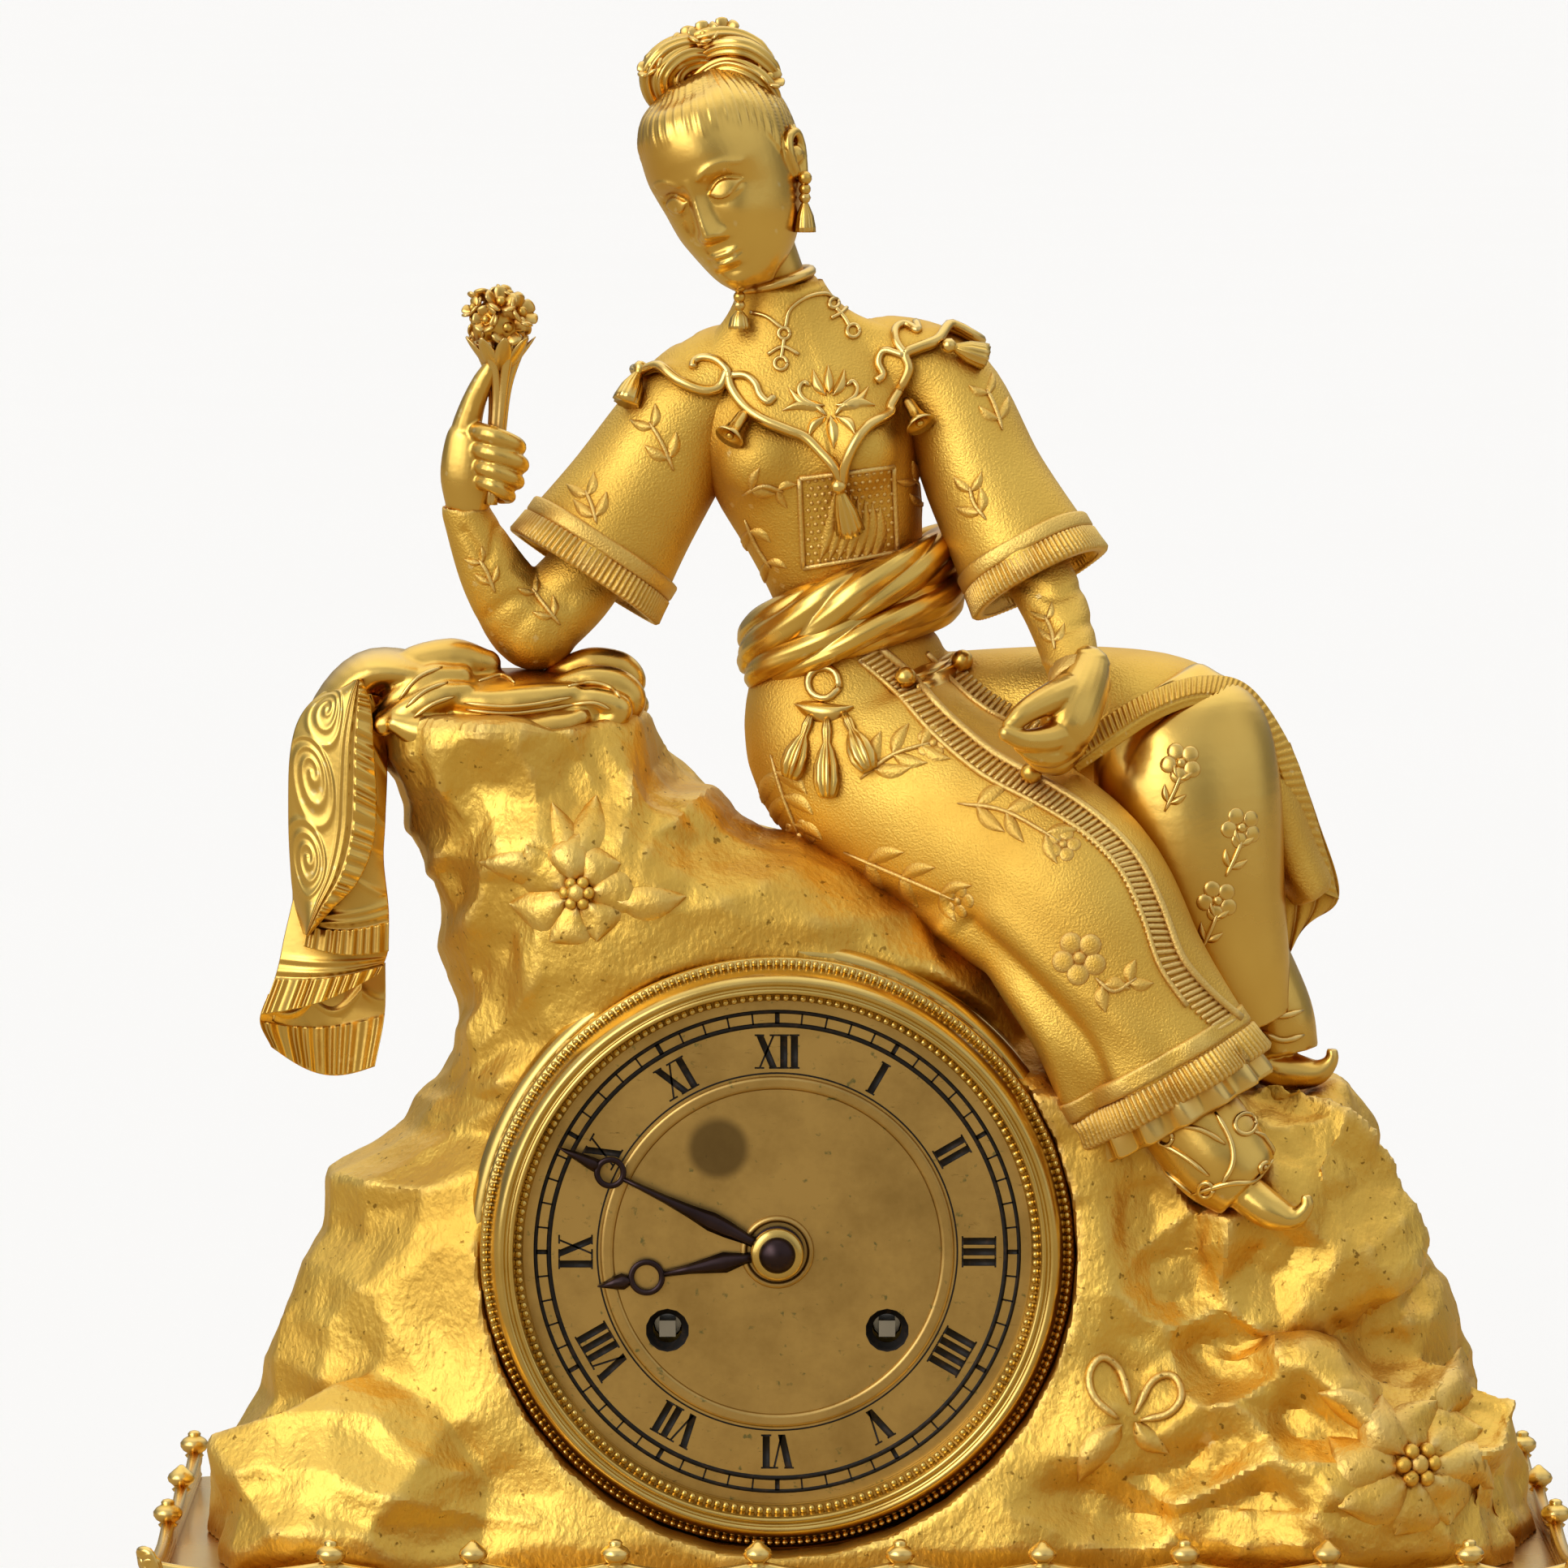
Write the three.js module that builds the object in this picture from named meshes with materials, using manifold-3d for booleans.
// Figural table clock in gilt bronze: a seated figure on a rock that holds a striking clock movement.
// Millimetres, +Z up, front towards -Y, origin at the middle of the base where it stands.
import * as THREE from 'three';
import { mergeVertices } from 'three/addons/utils/BufferGeometryUtils.js';
import Module from 'manifold-3d';

const wasm = await Module();
wasm.setup();

// Clearances
const SEAT_GAP = 0.3;            // between pieces that sit against each other
const RUN_GAP = 0.3;             // round a shaft in its hole
const WELD = 0.5;                // how far a joined form runs into its neighbour
const CUT_PAST = 1;              // how far a cut runs past the face it opens

// Base
const FOOT_HEIGHT = 18;
const FOOT_RADIUS = 13;
const FOOT_STUD_RADIUS = 3;
const FOOT_STUD_LENGTH = 10;
const PLINTH_WIDTH = 260;
const PLINTH_DEPTH = 136;
const PLINTH_HEIGHT = 38;
const PLINTH_WALL = 6;
const PLINTH_TOP_THICKNESS = 6;
const PLINTH_CORNER_RADIUS = 7;
const CORNICE_SETBACK = 2;       // top edge of the base behind its lowest moulding
const FRIEZE_SETBACK = 7;        // flat frieze behind the lowest moulding
const FOOT_INSET = 17;           // foot centre from the plinth's outer edge
const CORNER_BLOCK = 30;         // solid block inside the plinth that takes a foot's stud

// Gallery on the base top
const GALLERY_INSET = 3;         // rail behind the edge of the base top
const RAIL_THICKNESS = 1.8;
const RAIL_PEAK = 6;             // rail height at a finial
const RAIL_DIP = 3.2;            // rail height between two finials
const FINIAL_HEIGHT = 10.3;
const FINIAL_RADIUS = 2;
const FINIAL_PITCH = 25;
const FINIAL_SHIFT = 6.4;        // middle finial from the middle of the front
const FRONT_FINIALS = 9;
const SIDE_FINIALS = 3;
const SIDE_FINIAL_PITCH = 39;
const SIDE_END_GAP = 5;          // rearmost finial from the rail's rear end
const CORNER_LEAF_RADIUS = 7;
const CORNER_LEAF_THICKNESS = 2.9;

// Rock and clock drum, heights above the base top
const ROCK_WALL = 9;
const ROCK_HOLLOW_HEIGHT = 72;
const DIAL_X = -15.2;
const DIAL_HEIGHT = 56.5;
const DIAL_FACE = 34;            // dial surface in front of the middle of the base
const DRUM_EDGE = 0.7;           // drum's bore outside the dial's edge
const DRUM_WALL = 5.4;
const DRUM_BACK = 42;            // rear seat behind the middle of the base
const BOLT_RADIUS = 2.5;
const BOLT_HEAD_RADIUS = 4.6;
const BOLT_HEAD_HEIGHT = 3.5;
const BOLT_INSET = 32;           // bolt from the end of the base
const BOLT_DEPTH = 9;            // how far a bolt reaches into the rock
const BOSS_RADIUS = 7.5;
const BRIDGE_WIDTH = 8;
const ROCK_DEPTH = 60;           // more than the rock's half depth, for cuts that pass through it

// Bezel, dial and hands
const BEZEL_OPENING = 45.2;
const BEZEL_WIDTH = 7.4;
const BEZEL_LIP = 2.3;
const BEZEL_CLEARANCE = 0.8;     // bezel or rear ring to the recess that it sits in
const BEZEL_HEIGHT = 8.5;        // front of the bezel over the dial
const DIAL_THICKNESS = 1.6;
const DIAL_FOOT_RADIUS = 1.5;
const WINDING_X = 19.6;
const WINDING_Y = -14.1;
const WINDING_HOLE_RADIUS = 3.9;
const WINDING_SQUARE = 2.9;
const SQUARE_SETBACK = 0.4;      // end of the square behind the dial's rear face
const HAND_THICKNESS = 0.9;
const HAND_GAP = 0.8;            // dial to hour hand, hour hand to minute hand
const MINUTE_TIP_GAP = 1.6;      // hand tip from the bezel's opening
const MINUTE_RING_SETBACK = 10.5;
const MINUTE_RING_RADIUS = 2.9;
const MINUTE_HAND_ANGLE = 296.2;
const HOUR_TIP_GAP = 12.4;
const HOUR_RING_SETBACK = 9.1;
const HOUR_RING_RADIUS = 3.3;
const HOUR_HAND_ANGLE = 259.3;
const HAND_WIDTH = 2.2;
const MINUTE_HUB_RADIUS = 3.4;
const HOUR_HUB_RADIUS = 4.9;
const HAND_NUT_RADIUS = 4.8;
const HAND_NUT_HEIGHT = 3;

// Movement
const MOTION_SPACE = 7.4;        // between dial and front plate
const PLATE_RADIUS = 40;
const PLATE_THICKNESS = 2;
const PLATE_GAP = 34;
const PILLAR_RADIUS = 2.6;
const PILLAR_CIRCLE = 36.5;
const PILLAR_ANGLES = [20, 160, 258, 282];
const ARBOR_RADIUS = 1.2;
const WINDING_ARBOR_RADIUS = 2.4;
const BARREL_WALL = 1.4;
const BARREL_LENGTH = 13;
const BARREL_SETBACK = 1.8;      // barrel wall inside the pitch circle of its great wheel
const SPRING_HUB_RADIUS = 5.7;
const GREAT_TEETH = 24;
const GREAT_PINION_TEETH = 8;
const GREAT_THICKNESS = 2.5;
const TRAIN_TEETH = 24;
const TRAIN_PINION_TEETH = 6;
const TRAIN_DISTANCE = 17;       // centre distance of a train wheel and the pinion it drives
const TRAIN_THICKNESS = 1.5;
const PINION_OVERHANG = 0.5;     // pinion past each face of the wheel that drives it
const THIRD_DIRECTION = 45;      // from the centre arbor, degrees
const ESCAPE_DIRECTION = 135;    // from the third arbor
const PIN_DIRECTION = 75.4;      // from the strike barrel
const FLY_DIRECTION = 129.5;     // from the pin wheel
const ESCAPE_RADIUS = 7.4;
const ESCAPE_TEETH = 15;
const ESCAPE_THICKNESS = 1.2;
const FLY_WIDTH = 11;
const FLY_THICKNESS = 0.8;
const FLY_BOTTOM = 8;            // vane over the back plate
const FLY_TOP = 24;
const PALLET_DISTANCE = 11.5;
const CANNON_TEETH = 6;
const MINUTE_TEETH = 18;
const MINUTE_PINION_TEETH = 5;
const HOUR_TEETH = 20;
const MOTION_DISTANCE = 12;      // centre arbor to minute wheel stud
const MINUTE_STUD_RADIUS = 1;
const CANNON_BOTTOM = 0.8;       // heights of the motion work over the front plate
const CANNON_TOP = 2.8;
const MINUTE_BOTTOM = 1.1;
const MINUTE_TOP = 2.5;
const MINUTE_PINION_TOP = 5.2;
const HOUR_BOTTOM = 3.4;
const HOUR_TOP = 4.8;
const PIPE_WALL = 2;             // hour wheel's pipe round the centre arbor
const REAR_WORK_GAP = 0.6;       // back plate to the pieces that work behind it
const CRUTCH_WIDTH = 2.4;
const CRUTCH_THICKNESS = 1.2;
const CRUTCH_DROP = 23;          // pallet arbor to the fork's lower end
const FORK_HEIGHT = 2;
const FORK_PRONG = 1;
const BOB_RADIUS = 9;
const BOB_CLEARANCE = 6.2;       // bob over the drum's bore
const BOB_THICKNESS = 4;
const ROD_WIDTH = 1.6;
const ROD_THICKNESS = 0.8;
const ROD_TOP = 1;               // rod above its turning axis
const COCK_HEIGHT = 2.6;
const COCK_WIDTH = 6;
const PENDULUM_SPACE = 4.5;      // back plate to the middle of the pendulum rod
const BELL_RADIUS = 26;
const BELL_DEPTH = 11;
const BELL_WALL = 1.2;
const BELL_SPACE = 9;            // back plate to the bell's mouth
const BELL_X = 12;
const BELL_Y = 8;
const BELL_POST_RADIUS = 1.8;
const BELL_NUT_RADIUS = 3.8;
const BELL_NUT_HEIGHT = 2;
const HAMMER_X = 33;
const HAMMER_Y = -18;
const HAMMER_HEAD_RADIUS = 2.6;
const HAMMER_THICKNESS = 1.6;
const HAMMER_ARM_WIDTH = 1.8;
const HAMMER_BOSS_RADIUS = 2.8;
const HAMMER_REACH = 4;          // head past the bell's mouth
const HAMMER_STANDOFF = 0.8;     // hammer head to bell at rest
const HAMMER_DIRECTION = -25;    // where it strikes, seen from the bell's axis
const COUNT_WHEEL_RADIUS = 9;
const COUNT_NOTCHES = 12;
const COUNT_NOTCH_DEPTH = 1.4;
const COUNT_WHEEL_THICKNESS = 1;
const REAR_RING_THICKNESS = 3;
const REAR_RING_LIP = 8.2;       // rear ring inside the drum's bore
const DOOR_SETBACK = 4.2;        // door's edge inside the drum's bore
const DOOR_THICKNESS = 1.6;
const KNUCKLE_RADIUS = 2.4;
const KNUCKLE_LENGTH = 8;
const HINGE_OFFSET = 0.8;        // door edge to hinge knuckle
const DOOR_KNOB_RADIUS = 2.4;
const DOOR_KNOB_LENGTH = 5;
const DOOR_KNOB_INSET = 6;
const HINGE_PIN_RADIUS = 1.1;
const STRAP_WIDTH = 7;
const STRAP_THICKNESS = 2;

// Figure
const COLLAR_THICKNESS = 1.6;
const HEAD_CENTRE = [-24.6, -4, 246];
const HEAD_UP = [-0.27, -0.12, 0.955];
const HEAD_FACING = [-0.5, -0.82, -0.28];

const BASE_TOP = FOOT_HEIGHT + PLINTH_HEIGHT;
const bezelRadius = BEZEL_OPENING + BEZEL_WIDTH;
const dialRadius = BEZEL_OPENING + BEZEL_LIP - SEAT_GAP;
const drumRadius = BEZEL_OPENING + BEZEL_LIP + DRUM_EDGE;
const degrees = THREE.MathUtils.degToRad;

const matteGold = new THREE.MeshStandardMaterial({ color: 0xcf9a35, roughness: 0.45, metalness: 1 });
const polishedGold = new THREE.MeshStandardMaterial({ color: 0xdcae48, roughness: 0.2, metalness: 1 });
const dialGold = new THREE.MeshStandardMaterial({ color: 0xb08d4a, roughness: 0.35, metalness: 1 });
const brass = new THREE.MeshStandardMaterial({ color: 0xb5923f, roughness: 0.35, metalness: 1 });
const steel = new THREE.MeshStandardMaterial({ color: 0x9a9a98, roughness: 0.3, metalness: 1 });
const bluedSteel = new THREE.MeshStandardMaterial({ color: 0x2a2430, roughness: 0.35, metalness: 1 });
const bellMetal = new THREE.MeshStandardMaterial({ color: 0xa99c74, roughness: 0.3, metalness: 1 });

// Solids for joining and cutting

// A closed geometry as a solid, turned right side out if its faces point inwards
function solid(geometry) {
  const bare = geometry.index ? geometry.toNonIndexed() : geometry.clone();
  bare.deleteAttribute('normal');
  bare.deleteAttribute('uv');
  const merged = mergeVertices(bare, 1e-4);
  const place = merged.attributes.position;
  const faces = Array.from(merged.index.array);
  let volume = 0;
  for (let face = 0; face < faces.length; face += 3) {
    const a = new THREE.Vector3().fromBufferAttribute(place, faces[face]);
    const b = new THREE.Vector3().fromBufferAttribute(place, faces[face + 1]);
    const c = new THREE.Vector3().fromBufferAttribute(place, faces[face + 2]);
    volume += a.dot(b.cross(c));
  }
  if (volume < 0) faces.reverse();
  return new wasm.Manifold(new wasm.Mesh({
    numProp: 3,
    vertProperties: new Float32Array(place.array),
    triVerts: new Uint32Array(faces),
  }));
}

function geometryOf(body) {
  const mesh = body.getMesh();
  const geometry = new THREE.BufferGeometry();
  geometry.setAttribute('position', new THREE.BufferAttribute(new Float32Array(mesh.vertProperties), 3));
  geometry.setIndex(new THREE.BufferAttribute(new Uint32Array(mesh.triVerts), 1));
  geometry.computeVertexNormals();
  return geometry;
}

function joined(...bodies) {
  return bodies.reduce((sum, body) => sum.add(body));
}

// A closed surface through rings of points; the ends are closed by fans, or the last ring meets the first
function skin(rings, looped = false) {
  const count = rings[0].length;
  const points = rings.flat();
  const faces = [];
  const bands = looped ? rings.length : rings.length - 1;
  for (let band = 0; band < bands; band += 1) {
    const next = (band + 1) % rings.length;
    for (let side = 0; side < count; side += 1) {
      const turn = (side + 1) % count;
      faces.push(band * count + side, band * count + turn, next * count + turn);
      faces.push(band * count + side, next * count + turn, next * count + side);
    }
  }
  if (!looped) {
    const ends = [[0, true], [rings.length - 1, false]];
    for (const [end, first] of ends) {
      const middle = points.length;
      const hub = new THREE.Vector3();
      rings[end].forEach((point) => hub.add(point));
      points.push(hub.divideScalar(count));
      for (let side = 0; side < count; side += 1) {
        const here = end * count + side;
        const there = end * count + ((side + 1) % count);
        faces.push(middle, first ? there : here, first ? here : there);
      }
    }
  }
  const geometry = new THREE.BufferGeometry().setFromPoints(points);
  geometry.setIndex(faces);
  return solid(geometry);
}

// A limb: oval sections [x, y, z, half width along side, half width across it] on a smooth path
function limb(stations, { side = [0, 1, 0], sides = 16, steps = 10, grow = 0 } = {}) {
  const path = new THREE.CatmullRomCurve3(stations.map(([x, y, z]) => new THREE.Vector3(x, y, z)));
  const widths = new THREE.CatmullRomCurve3(stations.map(([, , , a, b]) => new THREE.Vector3(a, b, 0)));
  const sideways = new THREE.Vector3(...side);
  const rings = [];
  for (let step = 0; step <= steps; step += 1) {
    const along = path.getPoint(step / steps);
    const tangent = path.getTangent(step / steps);
    const width = widths.getPoint(step / steps);
    const u = sideways.clone().addScaledVector(tangent, -tangent.dot(sideways)).normalize();
    const v = new THREE.Vector3().crossVectors(tangent, u);
    if (step === 0) along.addScaledVector(tangent, -grow);
    if (step === steps) along.addScaledVector(tangent, grow);
    const ring = [];
    for (let turn = 0; turn < sides; turn += 1) {
      const angle = (2 * Math.PI * turn) / sides;
      const across = Math.cos(angle) * (width.x + grow);
      const over = Math.sin(angle) * (width.y + grow);
      ring.push(along.clone().addScaledVector(u, across).addScaledVector(v, over));
    }
    rings.push(ring);
  }
  return skin(rings);
}

function ball(x, y, z, radius, { stretch = [1, 1, 1], grow = 0, sides = 14 } = {}) {
  const geometry = new THREE.SphereGeometry(1, sides, Math.ceil(sides * 0.6));
  geometry.scale(...stretch.map((factor) => radius * factor + grow));
  geometry.translate(x, y, z);
  return solid(geometry);
}

// Round bar along z in the movement's own frame
function rod(x, y, z0, z1, radius, sides = 16) {
  const geometry = new THREE.CylinderGeometry(radius, radius, z1 - z0, sides);
  geometry.rotateX(Math.PI / 2);
  geometry.translate(x, y, (z0 + z1) / 2);
  return solid(geometry);
}

function block(x0, x1, y0, y1, z0, z1) {
  const geometry = new THREE.BoxGeometry(x1 - x0, y1 - y0, z1 - z0);
  geometry.translate((x0 + x1) / 2, (y0 + y1) / 2, (z0 + z1) / 2);
  return solid(geometry);
}

// Flat piece between two levels, from an outline of [x, y] points
function plate(outline, z0, z1, x = 0, y = 0, turn = 0) {
  const shape = new THREE.Shape(outline.map(([a, b]) => new THREE.Vector2(a, b)));
  const geometry = new THREE.ExtrudeGeometry(shape, { depth: z1 - z0, bevelEnabled: false });
  geometry.rotateZ(turn);
  geometry.translate(x, y, z0);
  return solid(geometry);
}

// Turned piece: profile of [radius, height] about z
function turned(profile, segments, x = 0, y = 0, z = 0) {
  const points = profile.map(([radius, height]) => new THREE.Vector2(radius, height));
  const geometry = new THREE.LatheGeometry(points, segments);
  geometry.rotateX(Math.PI / 2);
  geometry.translate(x, y, z);
  return solid(geometry);
}

const parts = new THREE.Group();
const clockFrame = new THREE.Group();
clockFrame.position.set(DIAL_X, 0, BASE_TOP + DIAL_HEIGHT);
clockFrame.rotation.x = Math.PI / 2;
const rockFrame = new THREE.Group();
rockFrame.position.z = BASE_TOP;
parts.add(clockFrame, rockFrame);

function add(group, name, body, material) {
  const mesh = new THREE.Mesh(geometryOf(body), material);
  mesh.name = name;
  group.add(mesh);
  return mesh;
}

// Base plinth

function roundedRectangle(halfX, halfY, radius, z) {
  const ring = [];
  const corners = [[1, 1, 0], [-1, 1, 90], [-1, -1, 180], [1, -1, 270]];
  for (const [signX, signY, start] of corners) {
    for (let step = 0; step <= 2; step += 1) {
      const angle = degrees(start + step * 45);
      const x = signX * (halfX - radius) + radius * Math.cos(angle);
      const y = signY * (halfY - radius) + radius * Math.sin(angle);
      ring.push(new THREE.Vector3(x, y, z));
    }
  }
  return ring;
}

const CORNERS = [[-1, -1], [1, -1], [-1, 1], [1, 1]];
const CORNER_NAMES = ['front_left', 'front_right', 'rear_left', 'rear_right'];

function plinth() {
  // Setback from the outer edge and share of the height, from the bottom torus to the top edge
  const moulding = [
    [1.5, 0], [0, 0.05], [0, 0.17], [1.5, 0.23], [4, 0.26], [FRIEZE_SETBACK, 0.36], [FRIEZE_SETBACK, 0.7],
    [5, 0.76], [3, 0.81], [CORNICE_SETBACK, 0.84], [CORNICE_SETBACK, 0.97], [CORNICE_SETBACK + 1, 1],
  ];
  const halfX = PLINTH_WIDTH / 2;
  const halfY = PLINTH_DEPTH / 2;
  const rings = moulding.map(([setback, share]) => roundedRectangle(
    halfX - setback, halfY - setback, PLINTH_CORNER_RADIUS, FOOT_HEIGHT + share * PLINTH_HEIGHT));
  let body = skin(rings);
  const innerX = halfX - FRIEZE_SETBACK - PLINTH_WALL;
  const innerY = halfY - FRIEZE_SETBACK - PLINTH_WALL;
  const hollowTop = BASE_TOP - PLINTH_TOP_THICKNESS;
  let hollow = block(-innerX, innerX, -innerY, innerY, FOOT_HEIGHT - CUT_PAST, hollowTop);
  for (const [signX, signY] of CORNERS) {
    const corner = new THREE.BoxGeometry(2 * CORNER_BLOCK, 2 * CORNER_BLOCK, 2 * BASE_TOP);
    hollow = hollow.subtract(solid(corner.translate(signX * halfX, signY * halfY, 0)));
  }
  body = body.subtract(hollow);
  for (const [signX, signY] of CORNERS) {
    const x = signX * (halfX - FOOT_INSET);
    const y = signY * (halfY - FOOT_INSET);
    const top = FOOT_HEIGHT + FOOT_STUD_LENGTH + SEAT_GAP;
    body = body.subtract(rod(x, y, FOOT_HEIGHT - CUT_PAST, top, FOOT_STUD_RADIUS + RUN_GAP, 12));
  }
  for (const sign of [-1, 1]) {
    const x = sign * (halfX - BOLT_INSET);
    body = body.subtract(rod(x, 0, FOOT_HEIGHT, BASE_TOP + CUT_PAST, BOLT_RADIUS + RUN_GAP, 12));
  }
  return body;
}

add(parts, 'base_plinth', plinth(), polishedGold);

// Feet: turned, with a stud into the plinth's corner block

CORNERS.forEach(([signX, signY], index) => {
  const R = FOOT_RADIUS;
  const H = FOOT_HEIGHT;
  const profile = [
    [0, 0], [R * 0.7, 0], [R, H * 0.4], [R * 0.9, H * 0.7], [R * 0.68, H * 0.84], [R * 0.72, H],
    [FOOT_STUD_RADIUS, H], [FOOT_STUD_RADIUS, H + FOOT_STUD_LENGTH], [0, H + FOOT_STUD_LENGTH],
  ];
  const x = signX * (PLINTH_WIDTH / 2 - FOOT_INSET);
  const y = signY * (PLINTH_DEPTH / 2 - FOOT_INSET);
  add(parts, `foot_${CORNER_NAMES[index]}`, turned(profile, 14, x, y), polishedGold);
});

// Bolts that hold the rock to the base

['left', 'right'].forEach((name, index) => {
  const x = (index ? 1 : -1) * (PLINTH_WIDTH / 2 - BOLT_INSET);
  const under = BASE_TOP - PLINTH_TOP_THICKNESS;
  const shank = rod(x, 0, under - BOLT_HEAD_HEIGHT, BASE_TOP + BOLT_DEPTH, BOLT_RADIUS, 12);
  const head = rod(x, 0, under - BOLT_HEAD_HEIGHT - SEAT_GAP, under - SEAT_GAP, BOLT_HEAD_RADIUS, 6);
  add(parts, `rock_bolt_${name}`, joined(shank, head), steel);
});

// Gallery: a low rail that dips between finials, with a leaf at each front corner

function finial(x, y) {
  const r = FINIAL_RADIUS;
  const profile = [
    [0, 0], [r * 0.6, 0], [r * 0.5, RAIL_PEAK + r * 0.5], [r, FINIAL_HEIGHT - r * 1.1],
    [r * 0.7, FINIAL_HEIGHT - r * 0.3], [0, FINIAL_HEIGHT],
  ];
  return turned(profile, 6, x, y, BASE_TOP);
}

// Rail outline from one end to the other, risen at the finials' places, as a strip on its edge
function rail(from, to, places) {
  const stops = [from, ...places, to];
  const shape = new THREE.Shape();
  shape.moveTo(from, 0);
  shape.lineTo(to, 0);
  shape.lineTo(to, RAIL_PEAK);
  for (let index = stops.length - 2; index >= 0; index -= 1) {
    const middle = (stops[index] + stops[index + 1]) / 2;
    shape.quadraticCurveTo(middle, 2 * RAIL_DIP - RAIL_PEAK, stops[index], RAIL_PEAK);
  }
  const strip = { depth: RAIL_THICKNESS, bevelEnabled: false, curveSegments: 4 };
  const geometry = new THREE.ExtrudeGeometry(shape, strip);
  geometry.translate(0, 0, -RAIL_THICKNESS / 2);
  return geometry;
}

function cornerLeaf(x, y) {
  const r = CORNER_LEAF_RADIUS;
  const stem = r * 0.3;
  const lobes = 5;
  const shape = new THREE.Shape();
  shape.moveTo(-r * 0.6, 0);
  for (let lobe = 0; lobe <= lobes; lobe += 1) {
    const angle = Math.PI - (Math.PI * lobe) / lobes;
    const valley = angle - Math.PI / lobes / 2;
    shape.lineTo(r * Math.cos(angle), stem + r * 1.1 * Math.sin(angle));
    if (lobe < lobes) shape.lineTo(r * 0.8 * Math.cos(valley), stem + r * 0.9 * Math.sin(valley));
  }
  shape.lineTo(r * 0.6, 0);
  const geometry = new THREE.ExtrudeGeometry(shape, { depth: CORNER_LEAF_THICKNESS, bevelEnabled: false });
  geometry.translate(0, 0, -CORNER_LEAF_THICKNESS / 2);
  geometry.rotateX(Math.PI / 2);
  geometry.translate(x, y, BASE_TOP);
  return solid(geometry);
}

const railX = PLINTH_WIDTH / 2 - CORNICE_SETBACK - GALLERY_INSET;
const railY = PLINTH_DEPTH / 2 - CORNICE_SETBACK - GALLERY_INSET;

function frontGallery() {
  const places = [];
  for (let index = 0; index < FRONT_FINIALS; index += 1) {
    places.push(FINIAL_SHIFT + FINIAL_PITCH * (index - (FRONT_FINIALS - 1) / 2));
  }
  const strip = rail(-railX, railX, places);
  strip.rotateX(Math.PI / 2);
  strip.translate(0, -railY, BASE_TOP);
  let body = solid(strip);
  for (const x of places) body = body.add(finial(x, -railY));
  for (const sign of [-1, 1]) body = body.add(cornerLeaf(sign * (railX - CORNER_LEAF_RADIUS / 2), -railY));
  return body;
}

function sideGallery(sign) {
  const places = [];
  for (let index = 0; index < SIDE_FINIALS; index += 1) {
    places.push(railY - SIDE_END_GAP - SIDE_FINIAL_PITCH * (SIDE_FINIALS - 1 - index));
  }
  const strip = rail(-railY + CORNER_LEAF_THICKNESS / 2 + SEAT_GAP, railY, places);
  strip.rotateX(Math.PI / 2);
  strip.rotateZ(Math.PI / 2);
  strip.translate(sign * railX, 0, BASE_TOP);
  let body = solid(strip);
  for (const y of places) body = body.add(finial(sign * railX, y));
  return body;
}

add(parts, 'gallery_front', frontGallery(), polishedGold);
add(parts, 'gallery_left', sideGallery(-1), polishedGold);
add(parts, 'gallery_right', sideGallery(1), polishedGold);

// Figure forms, as functions of how much they are grown, so that neighbours can be cut clear of them.
// Points are in the rock's frame: heights above the base top.

const tunic = (grow) => joined(
  limb([
    [-1.7, 2, 161.5, 12.5, 16.5], [-0.2, -2, 144, 17, 20.5], [18.7, -14, 130.5, 17, 20],
    [35.8, -26, 120, 16, 18.5], [44.4, -30, 104.5, 14.5, 18], [53, -31, 86.5, 15, 18],
  ], { grow, sides: 16, steps: 11 }),
  limb([
    [10, 8, 146, 14, 14], [39.5, 3, 149, 14.5, 13], [59, 0, 148, 14, 11],
    [71.5, 0, 137.5, 13, 7], [78, 0, 124, 12, 5.5], [82, 0, 117, 11.5, 4.5],
  ], { grow, sides: 12, steps: 9 }),
);

const innerSkirt = (grow) => limb([
  [58, -9, 155, 6, 6.5], [60, -10, 149, 11.5, 12], [61, -11.5, 138, 13.5, 14], [62, -12.5, 120, 13, 14],
  [65.5, -12.5, 104, 11, 12], [68.5, -11.5, 94.5, 9.5, 10],
], { grow, sides: 14, steps: 8 });

const torso = (grow) => joined(
  limb([
    [-1.5, 2, 158, 13.5, 11], [-2, 1.5, 170, 13.5, 10.5], [-5, 0, 184, 16.5, 12], [-9, -2, 197, 19.5, 13],
    [-11, -0.5, 208, 20.5, 11.5], [-11.5, 0.5, 215, 16.5, 9.5], [-13, 0, 221.5, 8.8, 8], [-15, -1, 228, 7, 7],
  ], { side: [1, 0, 0], grow, sides: 14, steps: 10 }),
  ball(-18, -9, 196.5, 8, { grow, sides: 10 }),
  ball(-1.5, -10, 198, 8, { grow, sides: 10 }),
);

const rightSleeve = (grow) => limb([
  [-20, 1, 213, 9, 9], [-31.5, 1, 203, 10.5, 11.5], [-41.5, 0, 188, 11.5, 13], [-50, -2, 175, 12.5, 15.2],
], { grow, sides: 12, steps: 5 });

const leftSleeve = (grow) => limb([
  [5, 1, 213, 8.5, 8.5], [15, 0, 208, 9.5, 9.8], [22.8, -4, 191.5, 10.5, 11], [32, -9, 174.5, 11.5, 13],
], { grow, sides: 12, steps: 5 });

const rightForearm = (grow) => joined(
  limb([[-46, -2, 181, 7, 7], [-58, -5, 167.5, 7.5, 8]], { grow, sides: 12, steps: 2 }),
  limb([[-59, -5, 166, 7.5, 7.8], [-66, -7, 175.5, 6.3, 6.3], [-70.8, -9, 186, 4.4, 4.3]],
    { grow, sides: 12, steps: 4 }),
  ball(-58.8, -5, 166.3, 8.1, { grow, sides: 10 }),
);

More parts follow.
